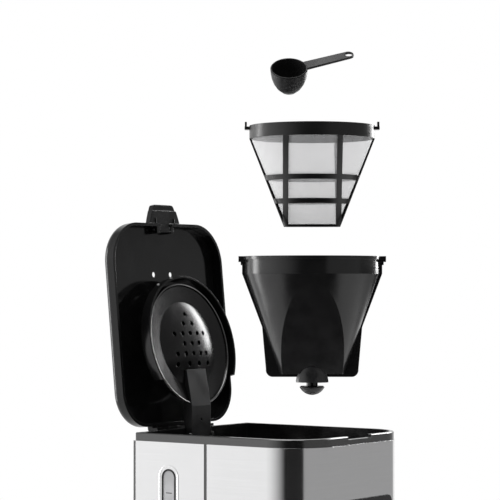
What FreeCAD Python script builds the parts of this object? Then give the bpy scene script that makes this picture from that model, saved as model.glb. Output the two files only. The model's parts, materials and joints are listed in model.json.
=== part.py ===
import FreeCAD, Part
import math
import os

# Drip coffee maker, millimetres, +Z up, front towards -Y.
# The origin is the middle of the footprint, on the counter.
# Everything is drawn closed and assembled, and the loose and swinging pieces are then
# moved to the stored pose: lid and spray head open, scoop, filter and funnel lifted out.

V = FreeCAD.Vector
UP = V(0, 0, 1)

# Body
BODY_W = 189.0
BODY_D = 206.0
R_FRONT = 45.0
R_REAR = 2.0
RIM_Z = 340.0
RIM_H = 8.0
RIM_SET_IN = 0.8
RIM_WALL = 5.5
SHEET = 1.2
WALL = 2.5
SEAM_FRONT = 13.0
SEAM_REAR = 16.4
FOOT_H = 5.0
FOOT_R = 9.0
FEET = ((-68, -74), (68, -74), (-74, 84), (74, 84))
BASE_TOP = 50.0
BASE_PLATE_T = 2.5
BASE_SCREWS = ((-78, -38), (78, -38), (-78, 62), (78, 62))
HEAD_Z = 196.0
DECK_Z = RIM_Z - 30.0
DECK_T = 3.0
STEEL_TOP = RIM_Z - RIM_H
REAR_COVER_Y = 101.0
REAR_FACE = 104.8
GLAND_X = 48.0
GLAND_Z = 68.0
GLAND_BORE = 3.6
NOTCH_HALF = 21.0
NOTCH_H = 3.0

# Brewing axis, chamber and bay for the carafe
AXIS_Y = 1.5
CHAMBER_R = 65.0
CHAMBER_WALL = 2.5
OUTLET_R = 16.3
BAY_R = 69.0

# Hotplate and heater
PLATE_R = 58.0
PLATE_TOP = 55.0
HEATER_R = 40.0
HEATER_SWEEP = 290.0

# Hoses: the cold one leaves the tank on the left, the hot one climbs through it on the right
TANK_LOW = 72.0
HOSE_R = 4.5
HOSE_BORE = 3.2
HOSE_X = 22.9
HOSE_Y = 86.0
HOSE_Z = 41.0
HOSE_START_Y = 50.0
HOSE_BEND = 9.0
RISER_TURN_Z = 296.0
RISER_TOP_X = 7.0
RISER_TOP_Z = 318.0

# Water window in the left panel
WINDOW_Y = 59.5
WINDOW_HALF = 8.5
WINDOW_LOW = 96.0
WINDOW_HIGH = 306.0

# Control panel
PANEL_HALF = 56.0
PANEL_LOW = 217.0
PANEL_HIGH = 279.0
PANEL_R = 8.0
DISPLAY_HALF = 27.0
DISPLAY_LOW = 251.0
DISPLAY_HIGH = 275.0
BUTTONS = {
    "hour_button": (-42, 264, 6.0),
    "minute_button": (-42, 238, 6.0),
    "program_button": (42, 264, 6.0),
    "strength_button": (42, 238, 6.0),
    "power_button": (0, 234, 9.0),
}
BUTTON_GAP = 0.35

# Lid
LID_HALF = 91.5
LID_FRONT = -106.3
LID_REAR = 101.7
LID_R_FRONT = 42.0
LID_R_REAR = 36.0
LID_LOW = RIM_Z + 0.4
LID_TOP = RIM_Z + 15.5
LID_WALL = 3.0
LID_RECESS = 11.0
LINER_T = 1.2
VENT_X = 14.0
VENT_Y = -54.0
VENT_R = 2.75
LID_PIVOT_Y = 110.0
LID_PIVOT_Z = RIM_Z - 5.0
LID_OPEN = 95.5
HINGE_HALF = 47.5
HINGE_END = 16.0
KNUCKLE_R = 3.9
PIN_R = 2.0
FIT = 0.05

# Latch tab on the front edge of the lid
TAB_BASE = 27.0
TAB_TIP = 13.0
TAB_LENGTH = 16.5
TAB_GAP = 0.6
TAB_ROOT = 8.0
TAB_LOW = RIM_Z + 2.5
TAB_T = 6.0
TAB_PIN_R = 1.2
TAB_PIN_Y = -100.5
TAB_PIN_Z = RIM_Z + 7.0

# Spray head, hinged at the rear of the deck
SPRAY_R = 63.5
SPRAY_Z = RIM_Z - 18.0
SPRAY_PIVOT_Y = 95.0
SPRAY_PIVOT_Z = RIM_Z - 8.0
SPRAY_OPEN = 102.6
SPRAY_PIN_R = 1.5
SPRAY_HOLE_R = 1.9
SPRAY_ROWS = (
    (-26.0, (0.0,)),
    (-16.0, (-7.0, 7.0)),
    (-5.5, (-24.0, -12.0, 0.0, 12.0, 24.0)),
    (5.0, (-12.0, 0.0, 12.0)),
    (15.5, (-24.0, -12.0, 0.0, 12.0, 24.0)),
    (26.0, (-25.0, -8.0, 8.0, 25.0)),
)
ARM_HALF = 16.0
CHEEK_T = 4.0
COLLAR_R = 70.5
COLLAR_ARC = 241.0

# Funnel, filter and scoop. Their lugs lie on a diagonal of the deck.
STACK_TURN = -55.0
STACK_X = -144.0
STACK_Y = -143.1
FUNNEL_LIFT = 202.0
FILTER_LIFT = 114.5
SCOOP_LIFT = 342.0
SCOOP_SIDE = -20.8
FUNNEL_R = 60.5
FUNNEL_BAND = 15.8
FUNNEL_DEPTH = 106.0
FUNNEL_FOOT_HALF = 29.0
FUNNEL_FOOT_T = 11.0
FUNNEL_WALL = 2.3
LUG_REACH = 66.5
FIN_T = 3.2
HOOD_R = 14.4
HOOD_LOW = 113.7
STEM_R = 5.1
CAP_R = 11.6
FILTER_R = 56.75
FILTER_BAND = 11.8
FILTER_DEPTH = 91.5
FILTER_FOOT_HALF = 25.5
FILTER_FOOT_T = 5.0
FILTER_SEAT = 3.5
SCOOP_R = 17.0
SCOOP_DEPTH = 26.0
SCOOP_TILT = 33.0
SCOOP_HANDLE_TURN = 24.0

# Carafe
GLASS_T = 2.2
CARAFE_LOW = PLATE_TOP + 0.3
CARAFE_NECK_R = 48.5
CARAFE_TOP = 165.0
BAND_H = 9.0
HANDLE_HALF = 10.0
HANDLE_BEND = 14.0
HANDLE_END_Z = 86.0


def plan_wire(x0, x1, y0, y1, r_front, r_rear):
    """Closed plan outline at z 0: a rectangle with round front (y0) and rear (y1) corners."""
    corners = ((x0, y0, r_front), (x1, y0, r_front), (x1, y1, r_rear), (x0, y1, r_rear))
    ways = ((1, 0), (0, 1), (-1, 0), (0, -1))
    edges = []
    starts = []
    ends = []
    for i, (cx, cy, r) in enumerate(corners):
        wx, wy = ways[i]
        vx, vy = ways[i - 1]
        enter = V(cx - vx * r, cy - vy * r, 0)
        leave = V(cx + wx * r, cy + wy * r, 0)
        hub = enter + V(wx, wy, 0) * r
        mid = hub + (V(cx, cy, 0) - hub).normalize() * r
        edges.append(Part.Arc(enter, mid, leave).toShape())
        starts.append(enter)
        ends.append(leave)
    sides = [Part.LineSegment(ends[i], starts[(i + 1) % 4]).toShape() for i in range(4)]
    return Part.Wire([edge for pair in zip(edges, sides) for edge in pair])


def outline(inset=0.0):
    """Plan outline of the body, inset from its outer skin."""
    return plan_wire(
        -BODY_W / 2 + inset,
        BODY_W / 2 - inset,
        -BODY_D / 2 + inset,
        BODY_D / 2 - inset,
        R_FRONT - inset,
        max(R_REAR - inset, 1.0),
    )


def lid_outline(inset=0.0):
    """Plan outline of the closed lid, inset from its outer skin."""
    return plan_wire(
        -LID_HALF + inset,
        LID_HALF - inset,
        LID_FRONT + inset,
        LID_REAR - inset,
        LID_R_FRONT - inset,
        LID_R_REAR - inset,
    )


def prism(wire, z0, z1):
    solid = Part.Face(wire).extrude(V(0, 0, z1 - z0))
    solid.translate(V(0, 0, z0))
    return solid


def box(x0, x1, y0, y1, z0, z1):
    return Part.makeBox(x1 - x0, y1 - y0, z1 - z0, V(x0, y0, z0))


def mirrored_boxes(x0, x1, y0, y1, z0, z1):
    return box(x0, x1, y0, y1, z0, z1).fuse(box(-x1, -x0, y0, y1, z0, z1))


def cyl(r, z0, z1, x=0.0, y=AXIS_Y):
    return Part.makeCylinder(r, z1 - z0, V(x, y, z0))


def cyl_x(r, x0, x1, y, z):
    return Part.makeCylinder(r, x1 - x0, V(x0, y, z), V(1, 0, 0))


def cyl_y(r, y0, y1, x, z):
    return Part.makeCylinder(r, y1 - y0, V(x, y0, z), V(0, 1, 0))


def lathe(points, y=AXIS_Y, sweep=360.0):
    """Turn a closed profile of (radius, z) points round a vertical axis."""
    corners = [V(r, 0, z) for r, z in points]
    face = Part.Face(Part.makePolygon(corners + corners[:1]))
    solid = face.revolve(V(0, 0, 0), UP, sweep)
    solid.translate(V(0, y, 0))
    return solid


def side_profile(points, x0, x1):
    """Extrude a closed (y, z) profile along X."""
    corners = [V(x0, y, z) for y, z in points]
    return Part.Face(Part.makePolygon(corners + corners[:1])).extrude(V(x1 - x0, 0, 0))


def front_plate(x_half, z0, z1, r, y0, y1):
    """Round-cornered plate that stands in the XZ plane, between y0 and y1."""
    face = Part.Face(plan_wire(-x_half, x_half, z0, z1, r, r))
    face.rotate(V(0, 0, 0), V(1, 0, 0), 90)
    face.translate(V(0, y1, 0))
    return face.extrude(V(0, y0 - y1, 0))


def edges_at(shape, z):
    """Edges that lie in the plane at height z."""
    return [e for e in shape.Edges if abs(e.BoundBox.ZMin - z) < 0.01 and abs(e.BoundBox.ZMax - z) < 0.01]


def fuse_all(shapes):
    whole = shapes[0]
    if len(shapes) > 1:
        whole = whole.multiFuse(shapes[1:])
    return whole.removeSplitter()


def group(shapes):
    return Part.makeCompound([solid for shape in shapes for solid in shape.Solids])


# Base and heating


def base_housing():
    shell = prism(outline(), FOOT_H, BASE_TOP)
    shell = shell.makeFillet(R_REAR - 0.2, edges_at(shell, BASE_TOP))
    shell = shell.cut(prism(outline(WALL), FOOT_H, BASE_TOP - 3.0))
    for x, y in BASE_SCREWS:
        shell = shell.fuse(cyl(4.0, FOOT_H + BASE_PLATE_T, BASE_TOP - 3.0, x, y))
        shell = shell.cut(cyl(1.55, FOOT_H, 22.0, x, y))
    shell = shell.cut(cyl(PLATE_R + 1.5, BASE_TOP - 4.0, BASE_TOP + 1.0))
    for side in (-1, 1):
        shell = shell.cut(cyl(HOSE_R + 0.6, BASE_TOP - 4.0, BASE_TOP + 1.0, side * HOSE_X, HOSE_Y))
        shell = shell.cut(cyl(HOSE_R + 0.6, BASE_TOP - 4.0, BASE_TOP + 1.0, side * HOSE_X, HOSE_Y - 4))
    return shell.removeSplitter()


def base_cover():
    plate = prism(outline(WALL + 0.2), FOOT_H, FOOT_H + BASE_PLATE_T)
    for x, y in FEET:
        plate = plate.cut(cyl(3.05, FOOT_H - 1, FOOT_H + 4, x, y))
    for x, y in BASE_SCREWS:
        plate = plate.cut(cyl(1.7, FOOT_H - 1, FOOT_H + 4, x, y))
        plate = plate.cut(cyl(3.5, FOOT_H - 1, FOOT_H + 1.3, x, y))
    for i in range(7):
        x = -36.0 + 12.0 * i
        plate = plate.cut(box(x - 2, x + 2, -18, 22, FOOT_H - 1, FOOT_H + 4))
    return plate


def rubber_feet():
    feet = []
    for x, y in FEET:
        foot = lathe(((0, 0), (FOOT_R - 1, 0), (FOOT_R, 1), (FOOT_R - 0.8, FOOT_H), (0, FOOT_H)), 0)
        foot = foot.fuse(cyl(3.0, FOOT_H, FOOT_H + 3.5, 0, 0)).removeSplitter()
        foot.translate(V(x, y, 0))
        feet.append(foot)
    return group(feet)


def base_screws():
    screws = []
    for x, y in BASE_SCREWS:
        head = cyl(3.2, FOOT_H + 0.1, FOOT_H + 1.3, x, y)
        screws.append(head.fuse(cyl(1.5, FOOT_H + 1.3, 20.0, x, y)).removeSplitter())
    return group(screws)


def hotplate():
    rim = PLATE_R - 1.5
    return lathe((
        (0, PLATE_TOP), (rim, PLATE_TOP), (PLATE_R, PLATE_TOP - 1.5), (PLATE_R, BASE_TOP - 1),
        (PLATE_R - 2, BASE_TOP - 1), (PLATE_R - 2, PLATE_TOP - 2.5), (0, PLATE_TOP - 2.5),
    ))


def hotplate_seal():
    inner = PLATE_R + 0.05
    return lathe((
        (inner, BASE_TOP + 1.8), (PLATE_R + 4, BASE_TOP + 1.2), (PLATE_R + 4.4, BASE_TOP),
        (PLATE_R + 1.4, BASE_TOP), (PLATE_R + 1.4, BASE_TOP - 3), (inner, BASE_TOP - 3),
    ))


def heating_element():
    low, high = PLATE_TOP - 14.0, PLATE_TOP - 2.5
    section = ((HEATER_R - 6, high), (HEATER_R + 6, high), (HEATER_R + 6, low + 4),
               (HEATER_R + 3, low), (HEATER_R - 3, low), (HEATER_R - 6, low + 4))
    ring = lathe(section, 0, HEATER_SWEEP)
    ring.rotate(V(0, 0, 0), UP, 90 + (360 - HEATER_SWEEP) / 2)
    ring.translate(V(0, AXIS_Y, 0))
    ends = []
    for side in (-1, 1):
        ends.append(cyl_y(HOSE_BORE, AXIS_Y + HEATER_R - 8, HOSE_START_Y + 6, side * HOSE_X, HOSE_Z))
    return fuse_all([ring] + ends)


def heater_bracket():
    low = PLATE_TOP - 14.0
    bar = box(-52, 52, AXIS_Y - 8, AXIS_Y + 8, low - 2.0, low)
    tabs = mirrored_boxes(50, 52, AXIS_Y - 8, AXIS_Y + 8, low, PLATE_TOP - 2.5)
    return bar.fuse(tabs).cut(cyl(2.0, low - 3, low + 1)).removeSplitter()


def thermostats():
    high = PLATE_TOP - 16.0
    cups = []
    for x in (-26.0, 26.0):
        cup = cyl(8.0, high - 6.0, high, x).fuse(cyl(5.0, high - 12.0, high - 6.0, x))
        cups.append(cup.removeSplitter())
    return group(cups)


# Water path


def column_region(inset, y_front, bay_radius, z0, z1):
    """Plan of the rear column: behind y_front, and outside the round bay."""
    block = prism(outline(inset), z0, z1)
    behind = box(-BODY_W, BODY_W, y_front, BODY_D, z0 - 1, z1 + 1)
    return block.common(behind).cut(cyl(bay_radius, z0 - 1, z1 + 1))


def water_tank():
    low, high = TANK_LOW, DECK_Z - DECK_T - 0.5
    tank = column_region(3.2, 22.0, BAY_R + 4.0, low, high)
    tank = tank.cut(column_region(5.2, 24.0, BAY_R + 6.0, low + 2.0, high + 1))
    tank = tank.fuse(cyl(6.0, low - 8, low, -HOSE_X, HOSE_Y))
    tank = tank.cut(cyl(4.0, low - 9, low + 3, -HOSE_X, HOSE_Y))
    return tank.cut(cyl(HOSE_R + FIT, low - 1, low + 3, HOSE_X, HOSE_Y)).removeSplitter()


def check_valve():
    low = TANK_LOW - 12.0
    body = cyl(3.9, low + 2, TANK_LOW, -HOSE_X, HOSE_Y).fuse(cyl(5.4, low, low + 4, -HOSE_X, HOSE_Y))
    return body.cut(cyl(2.0, low - 1, TANK_LOW + 1, -HOSE_X, HOSE_Y)).removeSplitter()


def tube_path(points, bend):
    """Wire of straight runs joined by tangent arcs of one bend radius."""
    edges = []
    last = points[0]
    for before, corner, after in zip(points, points[1:], points[2:]):
        back = (before - corner).normalize()
        on = (after - corner).normalize()
        half = back.getAngle(on) / 2
        enter = corner + back * (bend / math.tan(half))
        leave = corner + on * (bend / math.tan(half))
        bisector = (back + on).normalize()
        mid = corner + bisector * (bend / math.sin(half) - bend)
        edges.append(Part.LineSegment(last, enter).toShape())
        edges.append(Part.Arc(enter, mid, leave).toShape())
        last = leave
    edges.append(Part.LineSegment(last, points[-1]).toShape())
    return Part.Wire(edges)


def hose(points, bend):
    """Hollow hose along a path of runs and arcs."""
    path = tube_path(points, bend)
    along = (points[1] - points[0]).normalize()
    solids = []
    for r in (HOSE_R, HOSE_BORE):
        ring = Part.Wire(Part.makeCircle(r, points[0], along))
        solids.append(path.makePipeShell([ring], True, False))
    return solids[0].cut(solids[1])


def cold_water_tube():
    x = -HOSE_X
    return hose([V(x, HOSE_Y, TANK_LOW - 12), V(x, HOSE_Y, HOSE_Z), V(x, HOSE_START_Y, HOSE_Z)], HOSE_BEND)


def hot_riser_tube():
    x = HOSE_X
    return hose([
        V(x, HOSE_START_Y, HOSE_Z), V(x, HOSE_Y, HOSE_Z), V(x, HOSE_Y, RISER_TURN_Z),
        V(RISER_TOP_X, HOSE_Y, RISER_TURN_Z), V(RISER_TOP_X, HOSE_Y, RISER_TOP_Z),
    ], 7.0)


def hose_clips():
    clips = []
    for side in (-1, 1):
        y = HOSE_START_Y + 6.5
        clip = cyl_y(HOSE_R + 1.2, y, y + 3.5, side * HOSE_X, HOSE_Z)
        clips.append(clip.cut(cyl_y(HOSE_R + FIT, y - 1, y + 5, side * HOSE_X, HOSE_Z)))
    return group(clips)


def bay_wall():
    high = HEAD_Z + 3.0
    wall = column_region(SHEET + 0.2, SEAM_FRONT, BAY_R, BASE_TOP, high)
    behind = column_region(SHEET + 0.2, SEAM_FRONT + WALL, BAY_R + WALL, BASE_TOP - 1, high + 1)
    return wall.cut(behind)


# Outer skin


def skin(z0, z1):
    """Sheet-steel skin of the whole outline between two heights."""
    return prism(outline(), z0, z1).cut(prism(outline(SHEET), z0 - 1, z1 + 1))


def front_wrap():
    sheet = skin(HEAD_Z, STEEL_TOP)
    sheet = sheet.common(box(-BODY_W, BODY_W, -BODY_D, SEAM_FRONT, HEAD_Z - 1, RIM_Z))
    gap = 0.15
    hole = front_plate(PANEL_HALF + gap, PANEL_LOW - gap, PANEL_HIGH + gap, PANEL_R, -BODY_D, -60)
    return sheet.cut(hole)


def window_slot(half):
    """Upright slot with round ends, through the left panel."""
    reach = WINDOW_HALF - half
    low, high = WINDOW_LOW + reach, WINDOW_HIGH - reach
    slot = front_plate(half, low, high, half - 0.01, -4, 4)
    slot.rotate(V(0, 0, 0), UP, 90)
    slot.translate(V(-BODY_W / 2, WINDOW_Y, 0))
    return slot


def rear_panel(side):
    sheet = skin(BASE_TOP, STEEL_TOP)
    near, far = sorted((side * 60.0, side * BODY_W))
    return sheet.common(box(near, far, SEAM_REAR, REAR_COVER_Y, 0, RIM_Z))


def left_rear_panel():
    return rear_panel(-1).cut(window_slot(WINDOW_HALF))


def window_frame():
    ring = window_slot(WINDOW_HALF - 0.05).cut(window_slot(WINDOW_HALF - 1.6))
    depth = box(-BODY_W / 2 - 0.5, -BODY_W / 2 + 2.4, 0, BODY_D, 0, RIM_Z)
    return ring.common(depth)


def water_window():
    depth = box(-BODY_W / 2 + 0.2, -BODY_W / 2 + 2.4, 0, BODY_D, 0, RIM_Z)
    return window_slot(WINDOW_HALF - 1.65).common(depth)


def seam_strips():
    half = BODY_W / 2
    strips = []
    for side in (-1, 1):
        x0, x1 = sorted((side * (half - 0.4), side * (half - SHEET - 0.2)))
        strips.append(box(x0, x1, SEAM_FRONT, SEAM_REAR, HEAD_Z, STEEL_TOP))
    return group(strips)


def rear_cover():
    plan = plan_wire(-BODY_W / 2, BODY_W / 2, -BODY_D / 2, REAR_FACE, R_FRONT, R_REAR)
    cover = prism(plan, BASE_TOP, STEEL_TOP)
    cover = cover.common(box(-BODY_W, BODY_W, REAR_COVER_Y, BODY_D, 0, RIM_Z))
    cover = cover.cut(prism(outline(SHEET + 0.2), DECK_Z - DECK_T - 0.3, RIM_Z))
    for i in range(6):
        z = 92.0 + 9.0 * i
        cover = cover.cut(front_plate(30.0, z, z + 4.0, 1.9, REAR_COVER_Y - 1, BODY_D))
    cover = cover.cut(cyl_y(7.0, REAR_COVER_Y - 1, BODY_D, GLAND_X, GLAND_Z))
    knuckles = []
    for side in (-1, 1):
        x0, x1 = sorted((side * (HINGE_HALF + 0.5), side * (HINGE_HALF + HINGE_END)))
        web = side_profile((
            (REAR_FACE - 1.0, LID_PIVOT_Z - 16), (LID_PIVOT_Y + KNUCKLE_R * 0.7, LID_PIVOT_Z - 3),
            (LID_PIVOT_Y, LID_PIVOT_Z), (REAR_FACE - 1.0, LID_PIVOT_Z),
        ), x0, x1)
        knuckles.append(web.fuse(cyl_x(KNUCKLE_R, x0, x1, LID_PIVOT_Y, LID_PIVOT_Z)))
    cover = fuse_all([cover] + knuckles)
    return cover.cut(cyl_x(PIN_R + FIT, -BODY_W, BODY_W, LID_PIVOT_Y, LID_PIVOT_Z))


def cord_gland():
    x, y, z = GLAND_X, REAR_FACE, GLAND_Z
    body = cyl_y(6.9, REAR_COVER_Y - 0.2, y, x, z).fuse(cyl_y(9.0, y, y + 2.5, x, z))
    body = body.fuse(Part.makeCone(7.5, 5.5, 7.0, V(x, y + 2.5, z), V(0, 1, 0)))
    return body.cut(cyl_y(GLAND_BORE, REAR_COVER_Y - 3, y + 20, x, z)).removeSplitter()


def lid_hinge_pin():
    reach = HINGE_HALF + HINGE_END
    return cyl_x(PIN_R, -reach, reach, LID_PIVOT_Y, LID_PIVOT_Z)


# Deck and brew chamber


def lug_pocket(low, grow):
    """Room for the funnel's two lugs, on the diagonal of the deck."""
    slot = box(-LUG_REACH - grow, LUG_REACH + grow, -7 - grow, 7 + grow, low, RIM_Z)
    slot.rotate(V(0, 0, 0), UP, STACK_TURN)
    slot.translate(V(0, AXIS_Y, 0))
    return slot


def top_rim():
    band = prism(outline(RIM_SET_IN), STEEL_TOP, RIM_Z)
    band = band.makeChamfer(0.8, edges_at(band, RIM_Z))
    skirt = prism(outline(SHEET + 0.2), DECK_Z - DECK_T, STEEL_TOP)
    rim = band.fuse(skirt).cut(prism(outline(RIM_WALL), DECK_Z, RIM_Z + 1))
    notch = side_profile((
        (-BODY_D, RIM_Z - NOTCH_H), (-60, RIM_Z - NOTCH_H), (-60, RIM_Z + 1), (-BODY_D, RIM_Z + 1),
    ), -NOTCH_HALF, NOTCH_HALF)
    rim = rim.cut(notch).cut(cyl(CHAMBER_R + 0.3, DECK_Z - 5, DECK_Z + 1))
    rim = rim.cut(lug_pocket(DECK_Z - 5, 1.5))
    for side in (-1, 1):
        x0, x1 = sorted((side * 28.0, side * 78.0))
        fill = prism(plan_wire(x0, x1, 72.0, 92.0, 5, 5), DECK_Z - 5, DECK_Z + 1)
        rim = rim.cut(fill)
    rim = rim.cut(box(-ARM_HALF - 0.5, ARM_HALF + 0.5, 80, 100.2, DECK_Z + 4, RIM_Z + 1))
    rim = rim.cut(cyl(HOSE_R + 0.2, DECK_Z - 5, DECK_Z + 1, RISER_TOP_X, HOSE_Y))
    cheeks = []
    for side in (-1, 1):
        x0, x1 = sorted((side * (ARM_HALF + 0.5), side * (ARM_HALF + CHEEK_T + 0.5)))
        cheek = side_profile((
            (86, DECK_Z), (101.0, DECK_Z), (101.0, SPRAY_PIVOT_Z), (SPRAY_PIVOT_Y + 4.5, SPRAY_PIVOT_Z + 3),
            (SPRAY_PIVOT_Y - 4.5, SPRAY_PIVOT_Z + 3), (SPRAY_PIVOT_Y - 6, SPRAY_PIVOT_Z - 4),
        ), x0, x1)
        cheeks.append(cheek)
    rim = fuse_all([rim] + cheeks)
    return rim.cut(cyl_x(SPRAY_PIN_R + FIT, -60, 60, SPRAY_PIVOT_Y, SPRAY_PIVOT_Z))


def spray_pin():
    reach = ARM_HALF + CHEEK_T + 0.5
    return cyl_x(SPRAY_PIN_R, -reach, reach, SPRAY_PIVOT_Y, SPRAY_PIVOT_Z)


def brew_chamber():
    top = DECK_Z - DECK_T
    r_out = CHAMBER_R + CHAMBER_WALL
    cup = lathe((
        (OUTLET_R, HEAD_Z), (r_out, HEAD_Z), (r_out, top - 8), (r_out + 4, top - 8), (r_out + 4, top),
        (CHAMBER_R, top), (CHAMBER_R, HEAD_Z + 3), (OUTLET_R, HEAD_Z + 2),
    ))
    return cup.cut(lug_pocket(DECK_Z - 5.6, 1.5))


def head_floor():
    plate = prism(outline(SHEET + 0.2), HEAD_Z, HEAD_Z + 3)
    plate = plate.common(box(-BODY_W, BODY_W, -BODY_D, SEAM_FRONT - 0.1, 0, RIM_Z))
    return plate.cut(cyl(CHAMBER_R + CHAMBER_WALL + 0.1, HEAD_Z - 1, HEAD_Z + 4))


# Control panel


def control_panel():
    shell = prism(outline(-1.0), PANEL_LOW, PANEL_HIGH)
    shell = shell.cut(prism(outline(2.4), PANEL_LOW - 1, PANEL_HIGH + 1))
    panel = shell.common(front_plate(PANEL_HALF, PANEL_LOW, PANEL_HIGH, PANEL_R, -BODY_D, -60))
    panel = panel.cut(front_plate(DISPLAY_HALF, DISPLAY_LOW, DISPLAY_HIGH, 3.0, -BODY_D, -60))
    for x, z, r in BUTTONS.values():
        panel = panel.cut(cyl_y(r + BUTTON_GAP, -BODY_D, -60, x, z))
    return panel


def display_window():
    gap = 0.1
    y = -BODY_D / 2
    return front_plate(DISPLAY_HALF - gap, DISPLAY_LOW + gap, DISPLAY_HIGH - gap, 2.9, y - 0.6, y + 1.6)


def display_module():
    y = -BODY_D / 2 + 1.6
    return box(-DISPLAY_HALF + 2, DISPLAY_HALF - 2, y, y + 4.5, DISPLAY_LOW + 1, DISPLAY_HIGH - 1)


def control_board():
    y = -BODY_D / 2 + 6.1
    board = front_plate(52.0, PANEL_LOW + 3, PANEL_HIGH - 3, 2.0, y, y + 1.6)
    posts = [cyl_y(2.0, y + 1.6, y + 6.0, x, z) for x in (-46.0, 46.0) for z in (224.0, 272.0)]
    return fuse_all([board] + posts)


def button(name):
    x, z, r = BUTTONS[name]
    face = -BODY_D / 2 - 2.2
    stem = cyl_y(r * 0.45, face + 3.5, face + 6.6, x, z)
    cap = cyl_y(r, face, face + 3.5, x, z)
    rim = [e for e in cap.Edges if abs(e.BoundBox.YMax - face) < 0.01]
    return cap.makeFillet(0.7, rim).fuse(stem).removeSplitter()


# Lid


def latch_pocket():
    return box(-TAB_ROOT - 1, TAB_ROOT + 1, LID_FRONT - 2, -96.5, LID_LOW - 1, TAB_LOW + 9.0)


def lid_shell():
    shell = prism(lid_outline(), LID_LOW, LID_TOP)
    shell = shell.makeFillet(8.0, edges_at(shell, LID_TOP))
    shell = shell.cut(prism(lid_outline(LID_WALL), LID_LOW - 1, LID_TOP - 2.6))
    slot = prism(plan_wire(-26, 26, VENT_Y - 6, VENT_Y + 6, 5.9, 5.9), LID_LOW, LID_TOP + 1)
    shell = shell.cut(slot).cut(latch_pocket())
    inner = LID_FRONT + LID_WALL
    bosses = mirrored_boxes(TAB_ROOT + 1, TAB_ROOT + 6, inner - 0.1, -96.5, TAB_LOW, TAB_LOW + 8.2)
    arm = side_profile((
        (103.4, LID_PIVOT_Z), (103.4, LID_LOW + 1), (LID_REAR - 2, LID_LOW + 1), (LID_REAR - 2, LID_LOW + 7),
        (105.0, LID_LOW + 7), (LID_PIVOT_Y + KNUCKLE_R, LID_LOW), (LID_PIVOT_Y + KNUCKLE_R, LID_PIVOT_Z),
    ), -HINGE_HALF, HINGE_HALF)
    barrel = cyl_x(KNUCKLE_R, -HINGE_HALF, HINGE_HALF, LID_PIVOT_Y, LID_PIVOT_Z)
    shell = fuse_all([shell, bosses, arm, barrel])
    shell = shell.cut(cyl_x(PIN_R + FIT, -60, 60, LID_PIVOT_Y, LID_PIVOT_Z))
    return shell.cut(cyl_x(TAB_PIN_R, -40, 40, TAB_PIN_Y, TAB_PIN_Z))


def lid_liner():
    low = RIM_Z + LID_RECESS
    plate = prism(lid_outline(LID_WALL + 0.2), low, low + LINER_T)
    for x in (-VENT_X, VENT_X):
        plate = plate.cut(cyl(VENT_R, low - 1, low + 4, x, VENT_Y))
    return plate


def latch_pin():
    return cyl_x(TAB_PIN_R, -TAB_ROOT - 6, TAB_ROOT + 6, TAB_PIN_Y, TAB_PIN_Z)


def lid_latch():
    edge = LID_FRONT - TAB_GAP
    tip = edge - TAB_LENGTH
    corners = [V(-TAB_BASE, edge, 0), V(-TAB_BASE + 1.5, edge - 4, 0), V(-TAB_TIP - 1.5, tip + 2.5, 0),
               V(-TAB_TIP + 2.0, tip, 0)]
    corners = corners + [V(-p.x, p.y, 0) for p in reversed(corners)]
    blade = Part.Face(Part.makePolygon(corners + corners[:1])).extrude(V(0, 0, TAB_T))
    blade.translate(V(0, 0, TAB_LOW))
    blade = blade.makeFillet(1.5, edges_at(blade, TAB_LOW + TAB_T))
    root = box(-TAB_ROOT, TAB_ROOT, edge, -97.5, TAB_LOW, TAB_LOW + TAB_T + 2)
    tab = blade.fuse(root).removeSplitter()
    return tab.cut(cyl_x(TAB_PIN_R + FIT, -40, 40, TAB_PIN_Y, TAB_PIN_Z))


# Spray head, drawn closed over the chamber


def spray_dish():
    z = SPRAY_Z
    pan = lathe((
        (0, z + 12), (55, z + 12), (59.5, z + 9), (SPRAY_R, z + 0.8), (SPRAY_R - 0.4, z), (SPRAY_R - 1.3, z),
        (58.0, z + 8.5), (54.5, z + 10), (0, z + 10),
    ))
    return pan.cut(arm_room(0.15))


def spray_plate():
    """Perforated face: a flat cone inside the lip, and a dome that bulges down over the funnel."""
    z = SPRAY_Z
    t = 1.5
    chord, sag = 44.5, 6.6
    ball = (chord ** 2 + sag ** 2) / (2 * sag)
    hub = V(0, AXIS_Y, z + 3.2 - sag + ball)
    dome = Part.makeSphere(ball, hub).cut(Part.makeSphere(ball - t, hub))
    dome = dome.common(cyl(chord, z - 10, z + 6))
    cone = lathe(((61.0, z + 1.0), (60.4, z + 1.0 + t), (chord - 0.5, z + 3.2 + t), (chord - 0.5, z + 3.2)))
    holes = [cyl(SPRAY_HOLE_R, z - 8, z + 8, x, AXIS_Y + dy) for dy, row in SPRAY_ROWS for x in row]
    return fuse_all([dome, cone]).cut(Part.makeCompound(holes)).cut(arm_room(0.15))


def arm_profile(grow):
    """Side view (y, z) of the arm: along the dish's face, then up to the pivot."""
    z = SPRAY_Z
    return (
        (AXIS_Y + 27 - grow, z - 2.2 - grow), (AXIS_Y + SPRAY_R + 1, z - 1.0 - grow),
        (SPRAY_PIVOT_Y + 1.0, SPRAY_PIVOT_Z - 4.2), (SPRAY_PIVOT_Y - 1.0, SPRAY_PIVOT_Z + 4.2),
        (AXIS_Y + SPRAY_R - 3, z + 9.6 + grow), (AXIS_Y + SPRAY_R - 8, z + 9.6 + grow),
        (AXIS_Y + 40, z + 6 + grow), (AXIS_Y + 27 - grow, z + 2 + grow),
    )


def arm_room(grow):
    half = ARM_HALF + grow
    return side_profile(arm_profile(grow), -half, half)


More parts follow.
